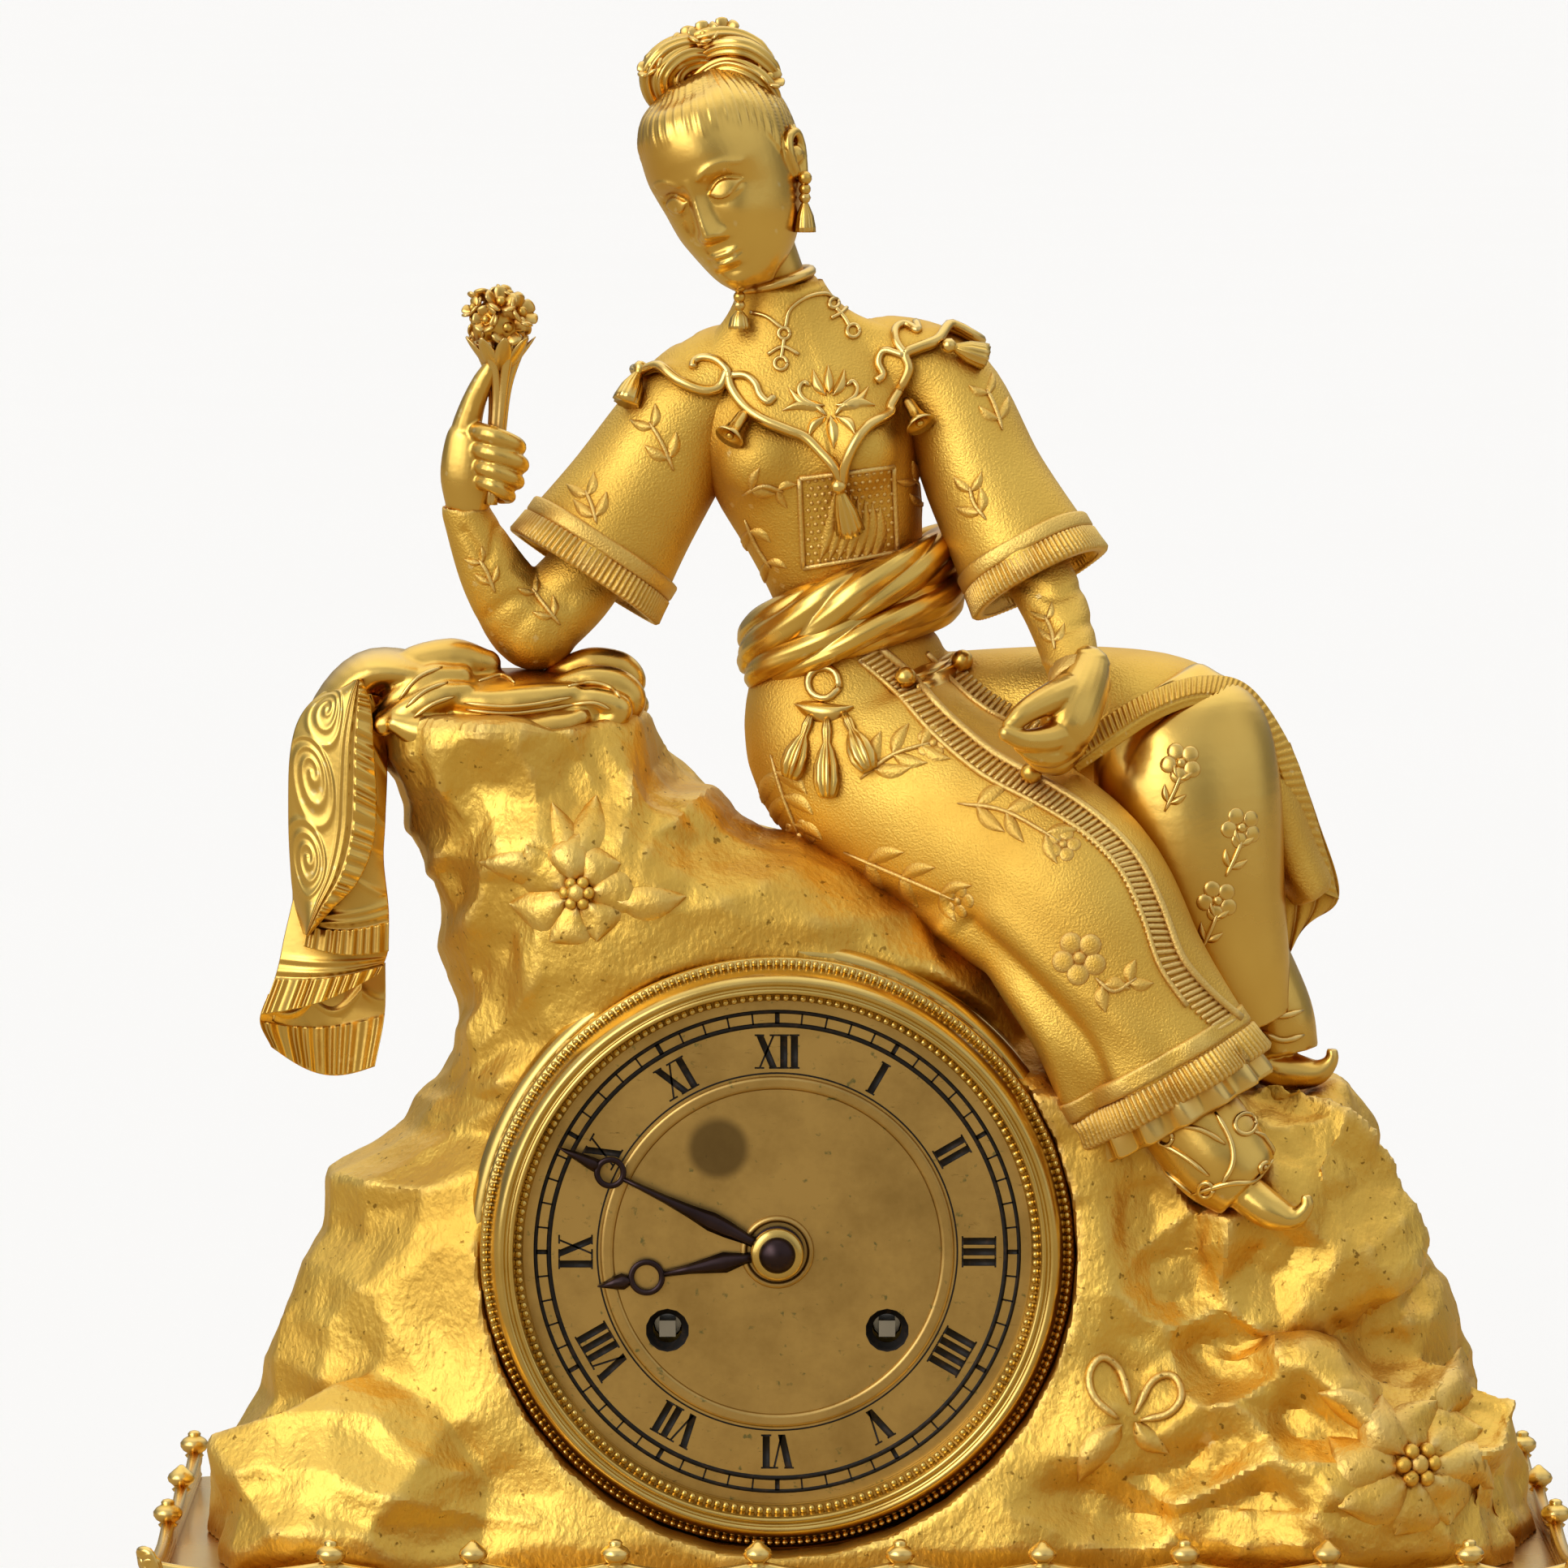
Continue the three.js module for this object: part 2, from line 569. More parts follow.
const leftForearm = (grow) => limb([
  [30, -9, 179, 6, 6], [35, -15, 169, 5.6, 5.8], [38, -26, 158.5, 4.5, 4.5],
], { grow, sides: 12, steps: 5 });

const bouquet = (grow) => limb([
  [-66.6, -11.5, 188.5, 1.2, 1.2], [-65.4, -11.3, 200, 1.7, 1.7], [-64.4, -11, 212, 2.4, 2.4],
  [-64.8, -10.7, 219, 6.2, 6.2], [-65.2, -10.5, 223.5, 6.6, 6.6], [-65.4, -10.5, 227.5, 3, 3],
], { grow, sides: 8, steps: 8 });

function finger(points, radius) {
  return limb(points.map(([x, y, z]) => [x, y, z, radius, radius]), { sides: 6, steps: 3 });
}

function rightHand() {
  let hand = limb([
    [-70.9, -9.2, 186.6, 3.7, 3.6], [-70.5, -10, 193.5, 4.3, 5.2], [-69.7, -11, 200.5, 3, 4.8],
  ], { sides: 12, steps: 4 });
  const knuckles = [200.6, 197.4, 194.3, 191.4];
  for (const z of knuckles) {
    const curl = [[-69, -12.2, z + 0.6], [-65.5, -15.2, z], [-62.3, -13, z - 1.2], [-63.6, -10, z - 1.6]];
    hand = hand.add(finger(curl, 1.55));
  }
  hand = hand.add(finger([[-71.4, -9.6, 198], [-70.3, -10.8, 204.5], [-67.4, -11.4, 211]], 1.7));
  return hand;
}

const leftHand = () => joined(
  limb([
    [38.2, -27, 157.4, 3.9, 3.9], [36.5, -32.5, 153, 5, 3.4], [33, -38, 150.8, 4.8, 2.7],
    [29, -42.3, 150, 3.4, 2.1], [26.8, -44, 148.2, 1.8, 1.4],
  ], { sides: 12, steps: 6 }),
  finger([[35.5, -31, 155.5], [31, -36, 156.2], [27.8, -41, 153.8]], 1.7),
);

const rightTrouser = (grow) => limb([
  [54.5, -34, 85.5, 9, 9], [62.5, -37, 75, 8.5, 9.2], [68.5, -38.5, 69, 6, 6.8],
], { grow, sides: 10, steps: 4 });

const leftTrouser = (grow) => limb([
  [70, -9.5, 108, 7.5, 6.5], [74.5, -9, 97, 7.5, 6.8], [76, -9, 89.5, 6.5, 6.5],
], { grow, sides: 10, steps: 4 });

const rightShoe = (grow) => limb([
  [66.5, -39.5, 69, 3.8, 3.6], [72, -41, 65, 4.2, 3.4], [76.3, -42.3, 63.8, 2.6, 2.1],
  [78.6, -43, 67.4, 1.2, 1.2],
], { grow, sides: 8, steps: 6 });

const leftShoe = (grow) => limb([
  [70.5, -9.5, 87.8, 4, 3.2], [76, -10.5, 86.3, 4.6, 3.7], [81.6, -12, 86, 3.1, 2.5],
  [85, -12.8, 90, 1.3, 1.2],
], { grow, sides: 8, steps: 6 });

const shawl = (grow) => joined(
  limb([
    [-89, -3, 152, 16, 4.5], [-76, -4, 154, 21, 6.5], [-60, -4, 154.5, 21, 6.8], [-47, -3, 153.5, 17, 6],
    [-41.5, -3, 153, 12, 4.5],
  ], { grow, sides: 12, steps: 7 }),
  limb([
    [-78, -5, 157, 12, 4], [-89, -6, 157, 11.5, 5], [-96.5, -8, 147.5, 9, 6.5], [-97, -9, 132, 7.5, 8],
    [-97.6, -9, 112, 7, 8.5], [-98.5, -9, 91, 8.5, 9.8],
  ], { grow, sides: 12, steps: 10 }),
);

// Head in its own frame: x to its left, -y the way it faces, z up

function headMatrix() {
  const up = new THREE.Vector3(...HEAD_UP).normalize();
  const facing = new THREE.Vector3(...HEAD_FACING);
  facing.addScaledVector(up, -facing.dot(up)).normalize();
  const across = new THREE.Vector3().crossVectors(up, facing);
  const matrix = new THREE.Matrix4().makeBasis(across, facing.clone().negate(), up);
  return matrix.setPosition(...HEAD_CENTRE);
}

function placedHead(body) {
  return solid(geometryOf(body).applyMatrix4(headMatrix()));
}

const head = (grow) => joined(
  placedHead(limb([
    [0, -8.6, -18.3, 3.6, 3.4], [0, -7.4, -14.8, 7, 7.4], [0, -4.5, -9, 10.4, 11.6],
    [0, -1.5, -2, 12.4, 14.8], [0, 0, 5, 13.2, 16.2], [0, 0.5, 11, 12.3, 15.4], [0, 1, 16, 9, 11.5],
    [0, 1, 18.8, 4, 5],
  ], { side: [1, 0, 0], grow, sides: 14, steps: 9 })),
  placedHead(limb([[0, -15.2, 0.5, 1, 1.4], [0, -16.2, -4, 1.4, 1.8], [0, -15.6, -7.6, 2, 2.2]],
    { side: [1, 0, 0], grow, sides: 6, steps: 3 })),
  limb([[-13.5, -0.6, 222, 5.6, 5.6], [-19.5, -2, 238, 5.8, 5.8]],
    { side: [1, 0, 0], grow, sides: 12, steps: 2 }),
);

const hairKnot = joined(
  limb([
    [-31.5, -1, 255, 3, 3.2], [-36.8, -1.5, 260.5, 3, 3.2], [-35, -1, 267, 3, 3], [-29, 0, 269, 3.2, 3.2],
  ], { sides: 8, steps: 7 }),
  ball(-23.5, 0.5, 264.5, 1, { stretch: [7.6, 7, 5.6], sides: 10 }),
  limb([[-30, 0, 258, 5, 5], [-27, 0.2, 266, 5, 5]], { sides: 8, steps: 2 }),
  ball(-27.6, 0, 270.6, 2.4, { sides: 8 }),
);

// Sash: a soft roll round the waist, higher at the figure's left
function sash(grow) {
  const rings = [];
  const turns = 16;
  const sides = 6;
  const [middleX, middleY, middleZ] = [-1.8, 1.5, 167.8];
  const [reachX, reachY, rise] = [17.2, 13.2, 0.275];
  for (let turn = 0; turn < turns; turn += 1) {
    const angle = (2 * Math.PI * turn) / turns;
    const ring = [];
    for (let side = 0; side < sides; side += 1) {
      const round = (2 * Math.PI * side) / sides;
      const out = (4.4 + grow) * Math.cos(round);
      const x = middleX + (reachX + out) * Math.cos(angle);
      const y = middleY + (reachY + out) * Math.sin(angle);
      ring.push(new THREE.Vector3(x, y, middleZ + rise * (x - middleX) + (7.6 + grow) * Math.sin(round)));
    }
    rings.push(ring);
  }
  return skin(rings, true);
}

// Cape collar: a layer on the shoulders, trimmed to a scalloped edge
const collarEdge = [
  [-37.5, 0, 208.5], [-31, -9.5, 207.5], [-27, -12, 209.5], [-20, -15.5, 203], [-13, -17, 200.5],
  [-3.3, -18.5, 193], [-1, -17.5, 198], [7, -15, 203.5], [9.5, -13, 210], [14.3, -9, 211.5],
  [19.5, 0, 215.5], [14, 9, 211], [5, 13, 206], [-9, 15.5, 199], [-23, 13, 204], [-32, 8, 206],
];

function collarRegion() {
  const core = new THREE.Vector3(-10, 0, 206);
  const edge = collarEdge.map(([x, y, z]) => new THREE.Vector3(x, y, z));
  const inside = edge.map((point) => point.clone().lerp(core, 0.75));
  const outside = edge.map((point) => core.clone().lerp(point, 1.5));
  const above = outside.map((point) => new THREE.Vector3(point.x, point.y, 240));
  return skin([inside, outside, above]);
}

const dressed = (grow) => joined(torso(grow), rightSleeve(grow), leftSleeve(grow));

// Rock: irregular horizontal sections [height, left, right, front, back], with facets from a fixed ripple.
// Its foot is given as [height, left gap, right gap, front, back], with the gaps taken from the side rails.
const footSections = [
  [0, 5.5, 1.5, -46, 50], [14, 8, 5, -44.5, 49], [27, 16, 12, -43, 47.5], [42, 19.5, 18, -42, 46.5],
  [57, 25.5, 28.5, -40, 46], [67, 28, 30, -39, 46], [76, 42, 31, -37.5, 45],
];
const upperSections = [
  [82.5, -79, 88, -37, 45], [86, -77, 60, -36.5, 44.5], [93, -73.5, 34, -35.5, 44], [106, -76, 24, -34, 43],
  [115, -78.5, 17, -32, 41], [122, -80, 2, -30, 39], [129, -81.5, -17, -29, 36.5],
  [138, -83.5, -32, -27.5, 32], [149, -85, -40.5, -25, 27],
];
const rockSections = [
  ...footSections.map(([height, leftGap, rightGap, front, back]) => [
    height, -railX + leftGap, railX - rightGap, front, back]),
  ...upperSections,
];

// Sine or cosine drawn out towards a rounded square
function squared(value) {
  return Math.sign(value) * Math.abs(value) ** 0.75;
}

function rockForm(grow, sections, sides) {
  const rings = sections.map(([height, left, right, front, back]) => {
    const ring = [];
    for (let side = 0; side < sides; side += 1) {
      const angle = (2 * Math.PI * side) / sides;
      const coarse = 1.3 * Math.sin(5 * angle + height * 0.23);
      const fine = 0.9 * Math.sin(11 * angle - height * 0.41);
      const ripple = grow < 0 ? 0 : coarse + fine;
      const halfX = (right - left) / 2 + grow + ripple;
      const halfY = (back - front) / 2 + grow + ripple * 0.6;
      const x = (left + right) / 2 + squared(Math.cos(angle)) * halfX;
      const y = (front + back) / 2 + squared(Math.sin(angle)) * halfY;
      ring.push(new THREE.Vector3(x, y, height));
    }
    return ring;
  });
  return skin(rings);
}

function boulder(middle, reach, seed) {
  const geometry = new THREE.IcosahedronGeometry(1, 1);
  const place = geometry.attributes.position;
  for (let index = 0; index < place.count; index += 1) {
    const point = new THREE.Vector3().fromBufferAttribute(place, index);
    const wobble = 1 + 0.12 * Math.sin(seed + 4.1 * point.x + 6.3 * point.y + 5.2 * point.z);
    point.multiplyScalar(wobble);
    place.setXYZ(index, point.x, point.y, point.z);
  }
  geometry.scale(...reach);
  geometry.translate(...middle);
  return solid(geometry);
}

function rock() {
  const drumFront = DIAL_FACE - DIAL_THICKNESS;
  const inClock = (body) => body.rotate([90, 0, 0]).translate([DIAL_X, 0, DIAL_HEIGHT]);
  let body = joined(
    rockForm(0, rockSections, 26),
    boulder([railX - 45, -30, 12], [40, 20, 30], 1),
    boulder([37 - railX, -30, 8], [30, 18, 24], 2),
    boulder([74, -24, 58], [24, 14, 26], 3),
  );
  const hollow = rockSections.filter(([height]) => height < ROCK_HOLLOW_HEIGHT);
  hollow[0] = [-CUT_PAST, ...hollow[0].slice(1)];
  body = body.subtract(rockForm(-ROCK_WALL, hollow, 12));
  body = body.add(inClock(rod(0, 0, -DRUM_BACK, drumFront, drumRadius + DRUM_WALL, 32)));
  body = body.subtract(inClock(rod(0, 0, -DRUM_BACK - CUT_PAST, drumFront + CUT_PAST, drumRadius, 32)));
  const seatRadius = bezelRadius + BEZEL_CLEARANCE;
  body = body.subtract(inClock(rod(0, 0, drumFront, drumFront + ROCK_DEPTH, seatRadius, 32)));
  const rearSeat = drumRadius + DRUM_WALL + BEZEL_CLEARANCE;
  body = body.subtract(inClock(rod(0, 0, -DRUM_BACK - ROCK_DEPTH, -DRUM_BACK, rearSeat, 32)));
  // A bridge across the hollow carries each bolt's boss
  const foot = rockForm(-CUT_PAST, rockSections.slice(0, 4), 12);
  const bossHeight = BOLT_DEPTH * 2;
  for (const sign of [-1, 1]) {
    const x = sign * (PLINTH_WIDTH / 2 - BOLT_INSET);
    const boss = rod(x, 0, 0, bossHeight, BOSS_RADIUS, 12);
    const hole = rod(x, 0, -CUT_PAST, BOLT_DEPTH + SEAT_GAP, BOLT_RADIUS + RUN_GAP, 12);
    const bridge = block(x - BRIDGE_WIDTH / 2, x + BRIDGE_WIDTH / 2, -ROCK_DEPTH, ROCK_DEPTH, 0, bossHeight);
    body = body.add(bridge.intersect(foot)).add(boss).subtract(hole);
  }
  const floor = block(-PLINTH_WIDTH, PLINTH_WIDTH, -PLINTH_DEPTH, PLINTH_DEPTH, -BASE_TOP, 0);
  return body.subtract(floor);
}

const tunicCut = tunic(SEAT_GAP);
const rightLegCut = joined(rightTrouser(SEAT_GAP), rightShoe(SEAT_GAP));
const leftLegCut = joined(leftTrouser(SEAT_GAP), leftShoe(SEAT_GAP));
const figureCut = joined(tunicCut, innerSkirt(SEAT_GAP), rightLegCut, leftLegCut);
const rockBody = rock().subtract(figureCut);
const rockTop = rockForm(SEAT_GAP, rockSections, 26);

add(rockFrame, 'rock', rockBody, matteGold);
add(rockFrame, 'tunic_skirt', tunic(0), matteGold);
add(rockFrame, 'inner_skirt', innerSkirt(0).subtract(tunicCut), polishedGold);
add(rockFrame, 'bodice', torso(0).subtract(tunicCut).subtract(head(SEAT_GAP)), matteGold);
const bodiceCut = torso(SEAT_GAP);
add(rockFrame, 'right_sleeve', rightSleeve(0).subtract(bodiceCut), matteGold);
add(rockFrame, 'left_sleeve', leftSleeve(0).subtract(bodiceCut), matteGold);
add(rockFrame, 'sash', sash(0).subtract(bodiceCut).subtract(tunicCut), polishedGold);
const collar = dressed(SEAT_GAP + COLLAR_THICKNESS).intersect(collarRegion());
add(rockFrame, 'cape_collar', collar.subtract(dressed(SEAT_GAP)).subtract(head(SEAT_GAP)), polishedGold);
add(rockFrame, 'head', head(0), polishedGold);
add(rockFrame, 'hair_knot', hairKnot.subtract(head(SEAT_GAP)), polishedGold);
add(rockFrame, 'right_forearm', rightForearm(0).subtract(rightSleeve(SEAT_GAP)), matteGold);
add(rockFrame, 'left_forearm', leftForearm(0).subtract(leftSleeve(SEAT_GAP)), matteGold);
const rightHandBody = rightHand().subtract(rightForearm(SEAT_GAP)).subtract(bouquet(SEAT_GAP));
add(rockFrame, 'right_hand', rightHandBody, polishedGold);
const leftHandBody = leftHand().subtract(leftForearm(SEAT_GAP)).subtract(tunicCut);
add(rockFrame, 'left_hand', leftHandBody, polishedGold);
add(rockFrame, 'bouquet', bouquet(0), polishedGold);
const shawlBody = shawl(0).subtract(rockTop).subtract(rightForearm(SEAT_GAP)).subtract(rightSleeve(SEAT_GAP));
add(rockFrame, 'shawl', shawlBody, polishedGold);
add(rockFrame, 'right_leg', joined(rightTrouser(0), rightShoe(0)).subtract(tunicCut), polishedGold);
const leftLeg = joined(leftTrouser(0), leftShoe(0));
add(rockFrame, 'left_leg', leftLeg.subtract(tunicCut).subtract(innerSkirt(SEAT_GAP)), polishedGold);

// Clock: the frame's z points to the viewer, its origin is the dial's centre

const dialBack = DIAL_FACE - DIAL_THICKNESS;
const frontPlateFront = dialBack - MOTION_SPACE;
const frontPlateBack = frontPlateFront - PLATE_THICKNESS;
const backPlateFront = frontPlateBack - PLATE_GAP;
const backPlateBack = backPlateFront - PLATE_THICKNESS;
const level = (height) => backPlateFront + height;
const polar = (x, y, distance, direction) => [
  x + distance * Math.cos(degrees(direction)), y + distance * Math.sin(degrees(direction))];

// Bezel: turned ring with a lip over the dial's edge
function bezel() {
  const back = dialBack + SEAT_GAP;
  const lipBack = DIAL_FACE + SEAT_GAP;
  const inner = BEZEL_OPENING;
  const seat = BEZEL_OPENING + BEZEL_LIP;
  const outer = bezelRadius;
  const front = DIAL_FACE + BEZEL_HEIGHT;
  const profile = [
    [seat, back], [seat, lipBack], [inner, lipBack], [inner, lipBack + 1.4], [inner + 2.2, front - 3.7],
    [inner + 3.2, front - 0.8], [inner + 4.6, front - 0.4], [outer - 1.8, front - 3.6], [outer, front - 6.2],
    [outer, back], [seat, back],
  ];
  return turned(profile, 36);
}
add(clockFrame, 'bezel', bezel(), polishedGold);

const windingPlaces = [['going', WINDING_X, WINDING_Y], ['strike', -WINDING_X, WINDING_Y]];
const dialFootPlaces = [[28, 18], [-28, 18], [0, -33]];
const pipeRadius = ARBOR_RADIUS + PIPE_WALL;
const dialHoleRadius = pipeRadius + RUN_GAP;

function dial() {
  let body = rod(0, 0, dialBack, DIAL_FACE, dialRadius, 36);
  body = body.subtract(rod(0, 0, dialBack - CUT_PAST, DIAL_FACE + CUT_PAST, dialHoleRadius));
  for (const [, x, y] of windingPlaces) {
    body = body.subtract(rod(x, y, dialBack - CUT_PAST, DIAL_FACE + CUT_PAST, WINDING_HOLE_RADIUS, 14));
  }
  for (const [x, y] of dialFootPlaces) {
    body = body.add(rod(x, y, frontPlateFront + SEAT_GAP, dialBack, DIAL_FOOT_RADIUS, 8));
  }
  return body;
}
add(clockFrame, 'dial', dial(), dialGold);

// Hands: a tapered blade with an open ring near its tip
function hand({ length, ringPlace, ringRadius, hub, bore, z0, direction }) {
  const half = HAND_WIDTH / 2;
  const ringStart = ringPlace - ringRadius * 0.9;
  const ringEnd = ringPlace + ringRadius * 0.9;
  const blade = [
    [-half, hub * 0.6], [half, hub * 0.6], [half * 1.5, ringPlace * 0.42], [half * 0.55, ringStart],
    [half * 0.6, ringEnd], [0, length], [-half * 0.6, ringEnd], [-half * 0.55, ringStart],
    [-half * 1.5, ringPlace * 0.42],
  ];
  const z1 = z0 + HAND_THICKNESS;
  const ring = rod(0, ringPlace, z0, z1, ringRadius, 12);
  let body = joined(plate(blade, z0, z1), rod(0, 0, z0, z1, hub, 14), ring);
  body = body.subtract(rod(0, ringPlace, z0 - CUT_PAST, z1 + CUT_PAST, ringRadius * 0.68, 12));
  body = body.subtract(rod(0, 0, z0 - CUT_PAST, z1 + CUT_PAST, bore, 10));
  return body.rotate([0, 0, -direction]);
}
const hourHandBack = DIAL_FACE + HAND_GAP;
const minuteHandBack = hourHandBack + HAND_THICKNESS + HAND_GAP;
const nutBack = minuteHandBack + HAND_THICKNESS + SEAT_GAP;
const hourHandLength = BEZEL_OPENING - HOUR_TIP_GAP;
const minuteHandLength = BEZEL_OPENING - MINUTE_TIP_GAP;
const hourHand = hand({
  length: hourHandLength,
  ringPlace: hourHandLength - HOUR_RING_SETBACK,
  ringRadius: HOUR_RING_RADIUS,
  hub: HOUR_HUB_RADIUS,
  bore: pipeRadius + SEAT_GAP,
  z0: hourHandBack,
  direction: HOUR_HAND_ANGLE,
});
const minuteHand = hand({
  length: minuteHandLength,
  ringPlace: minuteHandLength - MINUTE_RING_SETBACK,
  ringRadius: MINUTE_RING_RADIUS,
  hub: MINUTE_HUB_RADIUS,
  bore: ARBOR_RADIUS + SEAT_GAP,
  z0: minuteHandBack,
  direction: MINUTE_HAND_ANGLE,
});
add(clockFrame, 'hour_hand', hourHand, bluedSteel);
add(clockFrame, 'minute_hand', minuteHand, bluedSteel);
const arborTip = nutBack + HAND_NUT_HEIGHT * 0.5;
function handNut() {
  const r = HAND_NUT_RADIUS;
  const h = HAND_NUT_HEIGHT;
  const dome = turned(
    [[0, 0], [r * 0.94, 0], [r, h * 0.3], [r * 0.8, h * 0.75], [r * 0.4, h], [0, h]], 14, 0, 0, nutBack);
  return dome.subtract(rod(0, 0, nutBack - CUT_PAST, arborTip + SEAT_GAP, ARBOR_RADIUS + SEAT_GAP));
}
add(clockFrame, 'hand_nut', handNut(), bluedSteel);

// Gears: straight-flanked teeth with generous backlash; a tooth lies at the phase angle
function gear(teeth, pitchRadius, z0, z1, x, y, phase) {
  const module = (2 * pitchRadius) / teeth;
  const tip = pitchRadius + 0.62 * module;
  const root = pitchRadius - 0.95 * module;
  const pitch = (2 * Math.PI) / teeth;
  const outline = [];
  for (let tooth = 0; tooth < teeth; tooth += 1) {
    const middle = phase + tooth * pitch;
    const corners = [[root, -0.23], [tip, -0.1], [tip, 0.1], [root, 0.23]];
    for (const [radius, share] of corners) {
      const angle = middle + share * pitch;
      outline.push([radius * Math.cos(angle), radius * Math.sin(angle)]);
    }
  }
  return plate(outline, z0, z1, x, y);
}

// Phase of a follower gear so that its gap faces the driver's tooth on the line of centres
function meshed(teeth, phase, direction, followerTeeth) {
  const line = degrees(direction);
  const pitch = (2 * Math.PI) / teeth;
  const behind = (((line - phase) % pitch) + pitch) % pitch;
  return line + Math.PI + (behind * teeth) / followerTeeth + Math.PI / followerTeeth;
}

function plateDisc(z0, z1) {
  return rod(0, 0, z0, z1, PLATE_RADIUS, 28);
}

const barrelDistance = Math.hypot(WINDING_X, WINDING_Y);
const greatRadius = (barrelDistance * GREAT_TEETH) / (GREAT_TEETH + GREAT_PINION_TEETH);
const greatPinionRadius = barrelDistance - greatRadius;
const trainRadius = (TRAIN_DISTANCE * TRAIN_TEETH) / (TRAIN_TEETH + TRAIN_PINION_TEETH);
const trainPinionRadius = TRAIN_DISTANCE - trainRadius;
const [thirdX, thirdY] = polar(0, 0, TRAIN_DISTANCE, THIRD_DIRECTION);
const [escapeX, escapeY] = polar(thirdX, thirdY, TRAIN_DISTANCE, ESCAPE_DIRECTION);
const [pinX, pinY] = polar(-WINDING_X, WINDING_Y, barrelDistance, PIN_DIRECTION);
const [flyX, flyY] = polar(pinX, pinY, TRAIN_DISTANCE, FLY_DIRECTION);
const palletX = escapeX;
const palletY = escapeY + PALLET_DISTANCE;
const minuteWheelY = MOTION_DISTANCE;

// Heights of the wheels over the back plate
const thirdWheelLevel = 1.5;
const centreWheelLevel = 5;
const greatLevel = { going: 9, strike: 12.5 };
const escapeLevel = 18;
const pinWheelLevel = PLATE_GAP - 3.5;

function arbor(x, y) {
  return rod(x, y, level(SEAT_GAP), level(PLATE_GAP - SEAT_GAP), ARBOR_RADIUS, 10);
}

// Plates and pillars
const rodMiddle = backPlateBack - PENDULUM_SPACE;
const cockBottom = palletY + ROD_TOP + SEAT_GAP;
const hammerFront = backPlateBack - REAR_WORK_GAP;
const hammerBack = hammerFront - HAMMER_THICKNESS;
const studEnd = hammerBack - HAMMER_THICKNESS;
const hammerStud = rod(HAMMER_X, HAMMER_Y, studEnd, backPlateFront - WELD, ARBOR_RADIUS, 10);
const minuteStudTop = frontPlateFront + MINUTE_PINION_TOP + SEAT_GAP;
const minuteStud = rod(0, minuteWheelY, frontPlateBack + WELD, minuteStudTop, MINUTE_STUD_RADIUS, 10);
function frontPlate() {
  const hole = (x, y, radius) => rod(x, y, frontPlateBack - CUT_PAST, frontPlateFront + CUT_PAST, radius, 12);
  let body = plateDisc(frontPlateBack, frontPlateFront).add(minuteStud);
  for (const [, x, y] of windingPlaces) body = body.subtract(hole(x, y, WINDING_ARBOR_RADIUS + RUN_GAP));
  return body.subtract(hole(0, 0, ARBOR_RADIUS + RUN_GAP));
}
// The pillars are riveted into the back plate, which also carries the hammer's stud and the pendulum's cock
function backPlate() {
  const cockLeft = palletX - COCK_WIDTH / 2;
  const cockTop = cockBottom + COCK_HEIGHT;
  const cockBack = rodMiddle - BOB_THICKNESS / 2;
  const cock = block(cockLeft, cockLeft + COCK_WIDTH, cockBottom, cockTop, cockBack, backPlateBack + WELD);
  let body = joined(plateDisc(backPlateBack, backPlateFront), hammerStud, cock);
  for (const angle of PILLAR_ANGLES) {
    const [x, y] = polar(0, 0, PILLAR_CIRCLE, angle);
    body = body.add(rod(x, y, backPlateFront - WELD, frontPlateBack - SEAT_GAP, PILLAR_RADIUS, 10));
  }
  for (const [x, y] of [[palletX, palletY], [pinX, pinY]]) {
    const hole = rod(x, y, backPlateBack - CUT_PAST, backPlateFront + CUT_PAST, ARBOR_RADIUS + RUN_GAP, 12);
    body = body.subtract(hole);
  }
  return body;
}
add(clockFrame, 'front_plate', frontPlate(), brass);
add(clockFrame, 'back_plate', backPlate(), brass);

// Barrels with their mainsprings and winding arbors
const greatPhase = 0;
const barrelRadius = greatRadius - BARREL_SETBACK;
for (const [train, x, y] of windingPlaces) {
  const barrelLevel = greatLevel[train] + GREAT_THICKNESS;
  const barrelTop = barrelLevel + BARREL_LENGTH;
  const drum = joined(
    gear(GREAT_TEETH, greatRadius, level(greatLevel[train]), level(barrelLevel), x, y, greatPhase),
    rod(x, y, level(barrelLevel) - WELD, level(barrelTop), barrelRadius, 18));
  const room = rod(x, y, level(barrelLevel), level(barrelTop - BARREL_WALL), barrelRadius - BARREL_WALL, 18);
  const boreRadius = WINDING_ARBOR_RADIUS + RUN_GAP;
  const bore = rod(x, y, level(greatLevel[train] - CUT_PAST), level(barrelTop + CUT_PAST), boreRadius, 12);
  add(clockFrame, `${train}_barrel`, drum.subtract(room).subtract(bore), brass);
  const springBottom = barrelLevel + SEAT_GAP;
  const springTop = barrelTop - BARREL_WALL - SEAT_GAP;
  const springOut = barrelRadius - BARREL_WALL - SEAT_GAP;
  const springIn = SPRING_HUB_RADIUS + SEAT_GAP;
  const spring = turned([
    [springIn, springBottom], [springOut, springBottom], [springOut, springTop], [springIn, springTop],
    [springIn, springBottom],
  ], 16, x, y, backPlateFront);
  add(clockFrame, `${train}_mainspring`, spring, steel);
  const half = WINDING_SQUARE / 2;
  const windingArbor = joined(
    rod(x, y, level(SEAT_GAP), frontPlateFront + WELD, WINDING_ARBOR_RADIUS, 12),
    rod(x, y, level(springBottom), level(springTop), SPRING_HUB_RADIUS, 12),
    block(x - half, x + half, y - half, y + half, frontPlateFront, dialBack - SQUARE_SETBACK));
  add(clockFrame, `${train}_winding_arbor`, windingArbor, steel);
}

